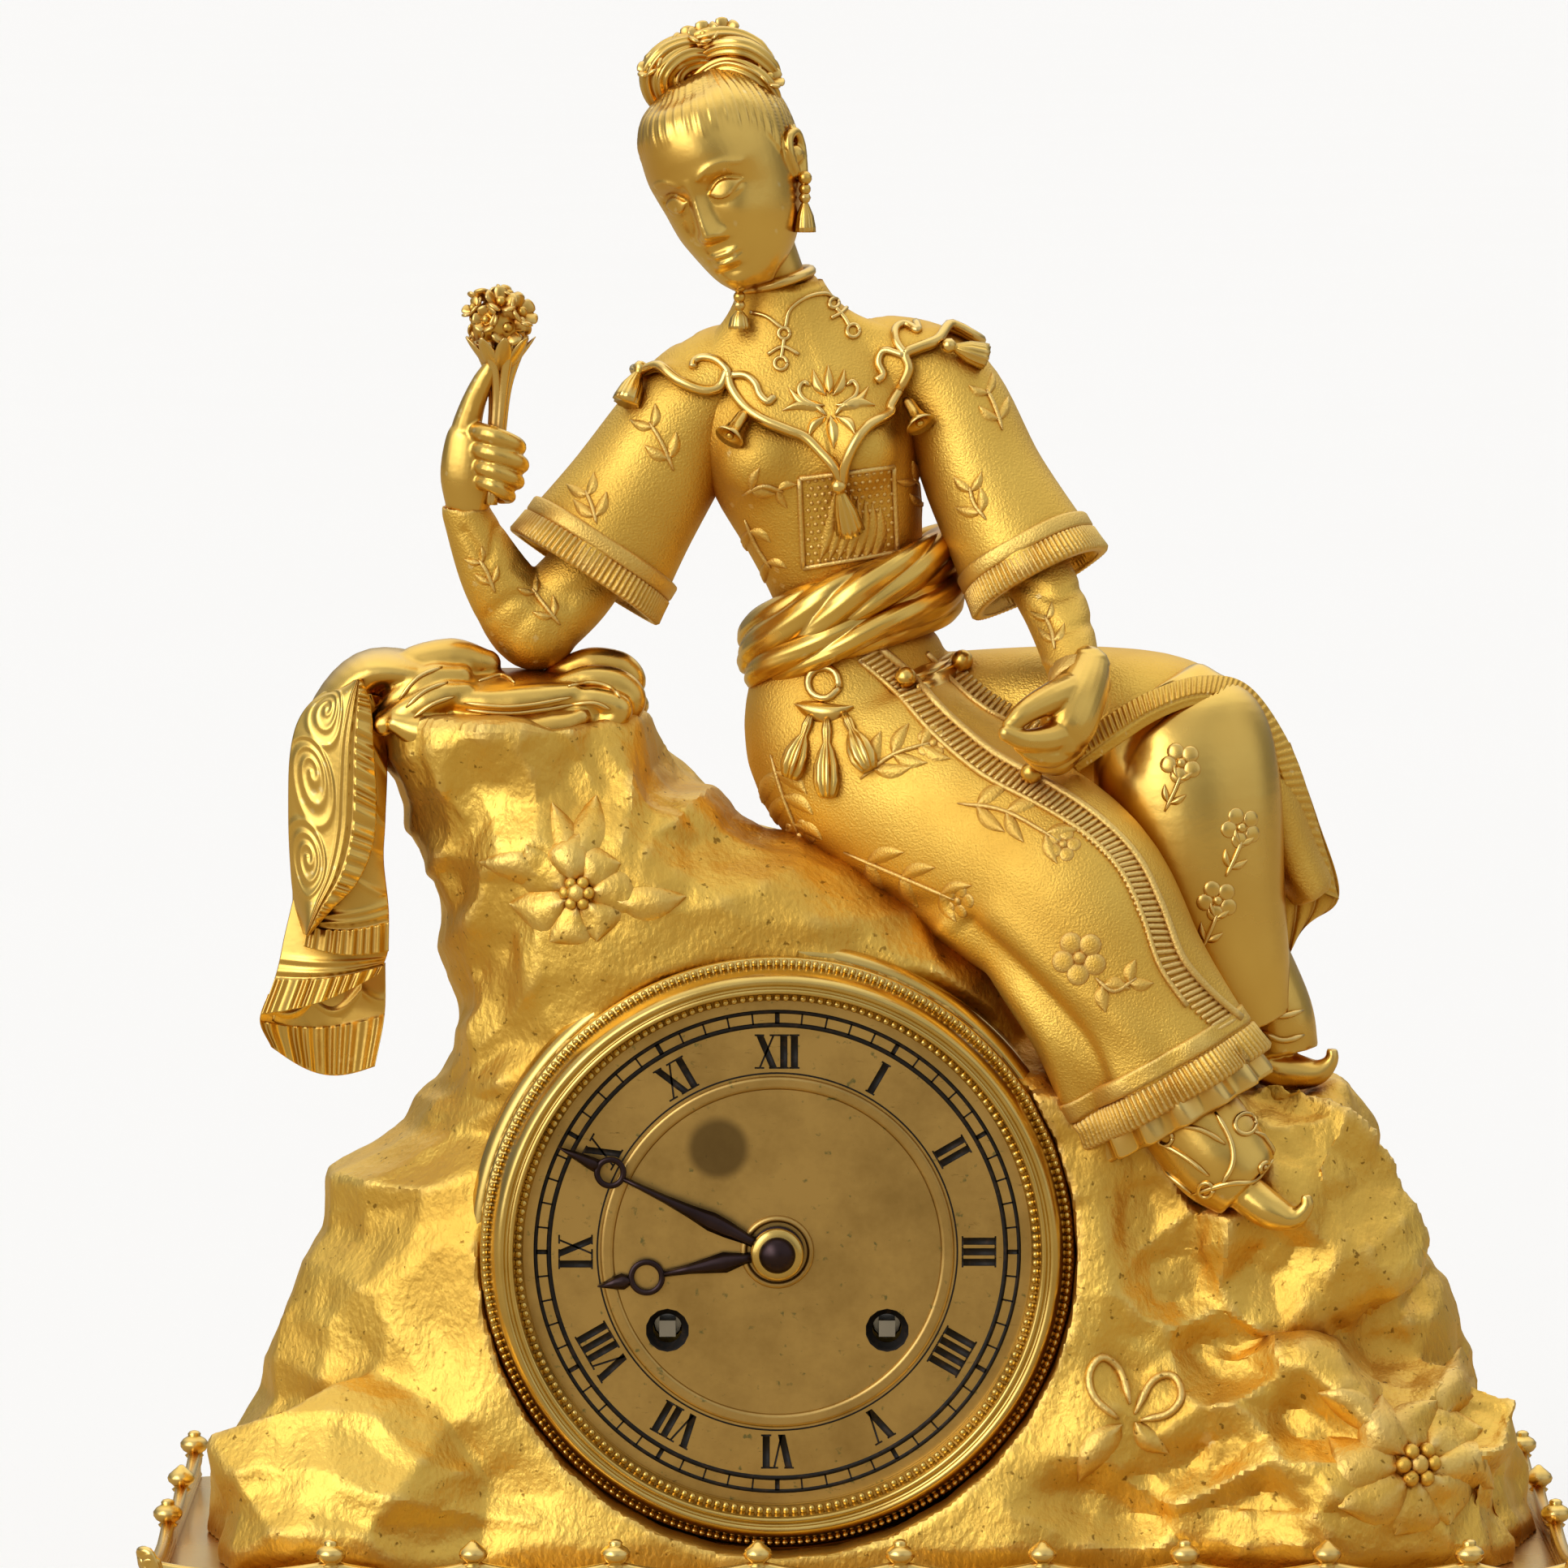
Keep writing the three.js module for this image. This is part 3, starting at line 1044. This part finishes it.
// Going train
// Pinion that a great wheel drives, a little wider than the wheel
function greatPinion(train, x, y, phase) {
  const bottom = greatLevel[train] - PINION_OVERHANG;
  const top = greatLevel[train] + GREAT_THICKNESS + PINION_OVERHANG;
  return gear(GREAT_PINION_TEETH, greatPinionRadius, level(bottom), level(top), x, y, phase);
}

// Train wheel, and the pinion that such a wheel drives, at a height over the back plate
function trainWheel(height, x, y, phase) {
  return gear(TRAIN_TEETH, trainRadius, level(height), level(height + TRAIN_THICKNESS), x, y, phase);
}
function trainPinion(height, x, y, phase) {
  const bottom = height - PINION_OVERHANG;
  const top = height + TRAIN_THICKNESS + PINION_OVERHANG;
  return gear(TRAIN_PINION_TEETH, trainPinionRadius, level(bottom), level(top), x, y, phase);
}
const goingDirection = Math.atan2(-WINDING_Y, -WINDING_X) * 180 / Math.PI;
const centrePinionPhase = meshed(GREAT_TEETH, greatPhase, goingDirection, GREAT_PINION_TEETH);
const centrePhase = 0;
const centreArbor = joined(
  rod(0, 0, level(SEAT_GAP), arborTip, ARBOR_RADIUS, 12),
  greatPinion('going', 0, 0, centrePinionPhase),
  trainWheel(centreWheelLevel, 0, 0, centrePhase),
);
add(clockFrame, 'centre_arbor', centreArbor, brass);
const thirdPinionPhase = meshed(TRAIN_TEETH, centrePhase, THIRD_DIRECTION, TRAIN_PINION_TEETH);
const thirdPhase = 0;
const thirdWheel = joined(
  arbor(thirdX, thirdY),
  trainPinion(centreWheelLevel, thirdX, thirdY, thirdPinionPhase),
  trainWheel(thirdWheelLevel, thirdX, thirdY, thirdPhase),
);
add(clockFrame, 'third_wheel', thirdWheel, brass);
const escapePinionPhase = meshed(TRAIN_TEETH, thirdPhase, ESCAPE_DIRECTION, TRAIN_PINION_TEETH);
const escapeOutline = [];
for (let tooth = 0; tooth < ESCAPE_TEETH; tooth += 1) {
  const start = (2 * Math.PI * tooth) / ESCAPE_TEETH;
  const corners = [[ESCAPE_RADIUS * 0.8, 0], [ESCAPE_RADIUS, 0.75], [ESCAPE_RADIUS * 0.8, 0.8]];
  for (const [radius, share] of corners) {
    const angle = start + (share * 2 * Math.PI) / ESCAPE_TEETH;
    escapeOutline.push([radius * Math.cos(angle), radius * Math.sin(angle)]);
  }
}
const escapeWheel = joined(
  arbor(escapeX, escapeY),
  trainPinion(thirdWheelLevel, escapeX, escapeY, escapePinionPhase),
  plate(escapeOutline, level(escapeLevel), level(escapeLevel + ESCAPE_THICKNESS), escapeX, escapeY),
);
add(clockFrame, 'escape_wheel', escapeWheel, brass);

// Pallets with their crutch, and the pendulum that the crutch drives
function pallets() {
  const anchor = [
    [-1.8, 1.8], [1.8, 1.8], [8.6, -4.2], [7.9, -6.6], [6.9, -6.2], [6.6, -4.6], [0, -1.4],
    [-6.6, -4.6], [-6.9, -6.2], [-7.9, -6.6], [-8.6, -4.2],
  ].reverse();
  const crutchFront = backPlateBack - REAR_WORK_GAP;
  const crutchBack = crutchFront - CRUTCH_THICKNESS;
  const crutchLeft = palletX - CRUTCH_WIDTH / 2;
  const forkY = palletY - CRUTCH_DROP;
  const forkBack = rodMiddle - ROD_THICKNESS - FORK_PRONG / 2;
  let body = joined(
    rod(palletX, palletY, crutchBack, level(PLATE_GAP - SEAT_GAP), ARBOR_RADIUS, 10),
    plate(anchor, level(escapeLevel), level(escapeLevel + ESCAPE_THICKNESS), palletX, palletY),
    block(crutchLeft, crutchLeft + CRUTCH_WIDTH, forkY, palletY, crutchBack, crutchFront));
  const forkReach = ROD_WIDTH / 2 + SEAT_GAP;
  for (const left of [palletX - forkReach - FORK_PRONG, palletX + forkReach]) {
    body = body.add(block(left, left + FORK_PRONG, forkY, forkY + FORK_HEIGHT, forkBack, crutchFront));
  }
  return body;
}
add(clockFrame, 'pallets', pallets(), steel);
const bobY = BOB_CLEARANCE + BOB_RADIUS - drumRadius;
const rodLeft = palletX - ROD_WIDTH / 2;
const rodBack = rodMiddle - ROD_THICKNESS / 2;
const pendulum = joined(
  block(rodLeft, rodLeft + ROD_WIDTH, bobY, palletY + ROD_TOP, rodBack, rodBack + ROD_THICKNESS),
  rod(palletX, bobY, rodMiddle - BOB_THICKNESS / 2, rodMiddle + BOB_THICKNESS / 2, BOB_RADIUS, 20));
add(clockFrame, 'pendulum', pendulum, brass);

// Motion work behind the dial
const cannonRadius = (MOTION_DISTANCE * CANNON_TEETH) / (CANNON_TEETH + MINUTE_TEETH);
const minuteRadius = MOTION_DISTANCE - cannonRadius;
const minutePinionRadius = (MOTION_DISTANCE * MINUTE_PINION_TEETH) / (MINUTE_PINION_TEETH + HOUR_TEETH);
const hourRadius = MOTION_DISTANCE - minutePinionRadius;
const motion = (height) => frontPlateFront + height;
const cannonPhase = degrees(90);
const cannonHole = rod(0, 0, motion(0), motion(CANNON_TOP + CUT_PAST), ARBOR_RADIUS + SEAT_GAP, 12);
const cannon = gear(CANNON_TEETH, cannonRadius, motion(CANNON_BOTTOM), motion(CANNON_TOP), 0, 0, cannonPhase);
add(clockFrame, 'cannon_pinion', cannon.subtract(cannonHole), steel);
const wheelPhase = meshed(CANNON_TEETH, cannonPhase, 90, MINUTE_TEETH);
const minutePinionPhase = degrees(270);
const minuteWheel = joined(
  gear(MINUTE_TEETH, minuteRadius, motion(MINUTE_BOTTOM), motion(MINUTE_TOP), 0, minuteWheelY, wheelPhase),
  gear(MINUTE_PINION_TEETH, minutePinionRadius, motion(MINUTE_TOP - WELD), motion(MINUTE_PINION_TOP),
    0, minuteWheelY, minutePinionPhase));
const minuteBore = rod(0, minuteWheelY, motion(0), motion(MOTION_SPACE), MINUTE_STUD_RADIUS + RUN_GAP, 10);
add(clockFrame, 'minute_wheel', minuteWheel.subtract(minuteBore), brass);
const hourPhase = meshed(MINUTE_PINION_TEETH, minutePinionPhase, 270, HOUR_TEETH);
const hourWheel = joined(
  gear(HOUR_TEETH, hourRadius, motion(HOUR_BOTTOM), motion(HOUR_TOP), 0, 0, hourPhase),
  rod(0, 0, motion(HOUR_BOTTOM), hourHandBack + HAND_THICKNESS + SEAT_GAP, pipeRadius, 16));
const pipeBore = rod(0, 0, motion(CANNON_TOP), minuteHandBack, ARBOR_RADIUS + RUN_GAP, 12);
add(clockFrame, 'hour_wheel', hourWheel.subtract(pipeBore), brass);

// Strike train
const pinPinionPhase = meshed(GREAT_TEETH, greatPhase, PIN_DIRECTION, GREAT_PINION_TEETH);
const pinPhase = 0;
const countFront = backPlateBack - REAR_WORK_GAP;
const countBack = countFront - COUNT_WHEEL_THICKNESS;
const countOutline = [];
for (let notch = 0; notch < COUNT_NOTCHES; notch += 1) {
  const start = (2 * Math.PI * notch) / COUNT_NOTCHES;
  const width = (2 * Math.PI) / COUNT_NOTCHES;
  const rim = COUNT_WHEEL_RADIUS;
  const floor = COUNT_WHEEL_RADIUS - COUNT_NOTCH_DEPTH;
  for (const [radius, share] of [[rim, 0], [rim, 0.7], [floor, 0.7], [floor, 1]]) {
    const angle = start + share * width;
    countOutline.push([radius * Math.cos(angle), radius * Math.sin(angle)]);
  }
}
const pinWheel = joined(
  rod(pinX, pinY, countBack - SEAT_GAP, level(PLATE_GAP - SEAT_GAP), ARBOR_RADIUS, 10),
  plate(countOutline, countBack, countFront, pinX, pinY),
  greatPinion('strike', pinX, pinY, pinPinionPhase),
  trainWheel(pinWheelLevel, pinX, pinY, pinPhase),
);
add(clockFrame, 'strike_pin_wheel', pinWheel, brass);
const flyPhase = meshed(TRAIN_TEETH, pinPhase, FLY_DIRECTION, TRAIN_PINION_TEETH);
const vaneLeft = flyX - FLY_WIDTH / 2;
const vaneLow = flyY - FLY_THICKNESS / 2;
const fly = joined(
  arbor(flyX, flyY),
  block(vaneLeft, vaneLeft + FLY_WIDTH, vaneLow, vaneLow + FLY_THICKNESS, level(FLY_BOTTOM), level(FLY_TOP)),
  trainPinion(pinWheelLevel, flyX, flyY, flyPhase));
add(clockFrame, 'fly', fly, brass);

// Bell, its post, and the hammer on its stud
const bellMouth = backPlateBack - BELL_SPACE;
const bellTop = bellMouth - BELL_DEPTH;
const bellHole = BELL_POST_RADIUS + SEAT_GAP;
const bellInside = bellTop + BELL_WALL;
const bell = turned([
  [bellHole, bellTop], [bellHole, bellInside], [BELL_RADIUS * 0.55, bellInside + BELL_DEPTH * 0.05],
  [BELL_RADIUS * 0.85, bellInside + BELL_DEPTH * 0.3], [BELL_RADIUS - BELL_WALL, bellMouth],
  [BELL_RADIUS, bellMouth], [BELL_RADIUS * 0.85 + BELL_WALL, bellTop + BELL_DEPTH * 0.24],
  [BELL_RADIUS * 0.55, bellTop - BELL_DEPTH * 0.04], [bellHole, bellTop],
], 20, BELL_X, BELL_Y);
add(clockFrame, 'bell', bell, bellMetal);
const collarStart = bellInside + 2 * SEAT_GAP;
const nutEnd = bellTop - BELL_DEPTH * 0.04 - SEAT_GAP;
const bellStand = joined(
  rod(BELL_X, BELL_Y, nutEnd - BELL_NUT_HEIGHT, backPlateBack - SEAT_GAP, BELL_POST_RADIUS, 10),
  rod(BELL_X, BELL_Y, collarStart, collarStart + BELL_NUT_HEIGHT, BELL_NUT_RADIUS, 10),
  rod(BELL_X, BELL_Y, nutEnd - BELL_NUT_HEIGHT, nutEnd, BELL_NUT_RADIUS, 6));
add(clockFrame, 'bell_stand', bellStand, steel);
const strikeRadius = BELL_RADIUS + HAMMER_STANDOFF + HAMMER_HEAD_RADIUS;
const [headX, headY] = polar(BELL_X, BELL_Y, strikeRadius, HAMMER_DIRECTION);
const hammerLength = Math.hypot(headX - HAMMER_X, headY - HAMMER_Y);
const hammerTurn = Math.atan2(headY - HAMMER_Y, headX - HAMMER_X);
const armHalf = HAMMER_ARM_WIDTH / 2;
const armOutline = [[0, -armHalf], [hammerLength, -armHalf], [hammerLength, armHalf], [0, armHalf]];
const hammer = joined(
  rod(HAMMER_X, HAMMER_Y, hammerBack, hammerFront, HAMMER_BOSS_RADIUS, 12),
  plate(armOutline, hammerBack, hammerFront, HAMMER_X, HAMMER_Y, hammerTurn),
  rod(headX, headY, bellMouth - HAMMER_REACH, hammerFront, HAMMER_HEAD_RADIUS, 12),
);
const hammerBore = rod(
  HAMMER_X, HAMMER_Y, hammerBack - CUT_PAST, hammerFront + CUT_PAST, ARBOR_RADIUS + RUN_GAP, 12);
add(clockFrame, 'strike_hammer', hammer.subtract(hammerBore), steel);

// Rear ring, door and hinge
const ringFront = -DRUM_BACK - SEAT_GAP;
const ringBack = ringFront - REAR_RING_THICKNESS;
const doorFront = ringBack - SEAT_GAP;
const doorBack = doorFront - DOOR_THICKNESS;
const doorRadius = drumRadius - DOOR_SETBACK;
const ringOpening = drumRadius - REAR_RING_LIP;
const hingeX = -doorRadius - KNUCKLE_RADIUS - HINGE_OFFSET;
const hingeZ = ringBack - RUN_GAP - KNUCKLE_RADIUS;
const ringRadius = drumRadius + DRUM_WALL;

// Upright round bar of the hinge, middle height first
function hingeBar(middle, length, radius) {
  const geometry = new THREE.CylinderGeometry(radius, radius, length, 12);
  return solid(geometry.translate(hingeX, middle, hingeZ));
}
const hingeLength = KNUCKLE_LENGTH * 3 + RUN_GAP * 2;
const hingeHole = hingeBar(0, hingeLength + 2 * CUT_PAST, HINGE_PIN_RADIUS + RUN_GAP);

function rearRing() {
  let body = turned([
    [ringOpening, ringBack], [ringRadius, ringBack], [ringRadius, ringFront],
    [ringOpening, ringFront], [ringOpening, ringBack]], 28);
  const half = KNUCKLE_RADIUS * 0.8;
  for (const sign of [-1, 1]) {
    const middle = sign * (KNUCKLE_LENGTH + RUN_GAP);
    const low = middle - KNUCKLE_LENGTH / 2;
    body = body.add(hingeBar(middle, KNUCKLE_LENGTH, KNUCKLE_RADIUS));
    body = body.add(block(hingeX - half, hingeX + half, low, low + KNUCKLE_LENGTH, hingeZ, ringBack + WELD));
  }
  return body.subtract(hingeHole);
}
function rearDoor() {
  const leaf = KNUCKLE_LENGTH / 2 - RUN_GAP;
  const knobX = doorRadius - DOOR_KNOB_INSET;
  const body = joined(
    rod(0, 0, doorBack, doorFront, doorRadius, 28),
    block(hingeX, -doorRadius + KNUCKLE_LENGTH / 2, -leaf, leaf, doorBack, doorFront),
    hingeBar(0, 2 * leaf, KNUCKLE_RADIUS),
    rod(knobX, 0, doorBack - DOOR_KNOB_LENGTH, doorBack + WELD, DOOR_KNOB_RADIUS, 12));
  return body.subtract(hingeHole);
}
add(clockFrame, 'rear_ring', rearRing(), polishedGold);
add(clockFrame, 'rear_door', rearDoor(), polishedGold);
add(clockFrame, 'door_hinge_pin', hingeBar(0, hingeLength + CUT_PAST, HINGE_PIN_RADIUS), steel);

// Straps that tie the dial and bezel to the rear ring
['upper', 'lower'].forEach((name, index) => {
  const middle = (PLATE_RADIUS + drumRadius) / 2;
  const geometry = new THREE.BoxGeometry(STRAP_THICKNESS, STRAP_WIDTH, dialBack + DRUM_BACK - SEAT_GAP);
  geometry.translate(middle, 0, (dialBack - SEAT_GAP - DRUM_BACK) / 2);
  geometry.rotateZ(degrees(index ? 250 : 110));
  add(clockFrame, `strap_${name}`, solid(geometry), brass);
});

export default parts;
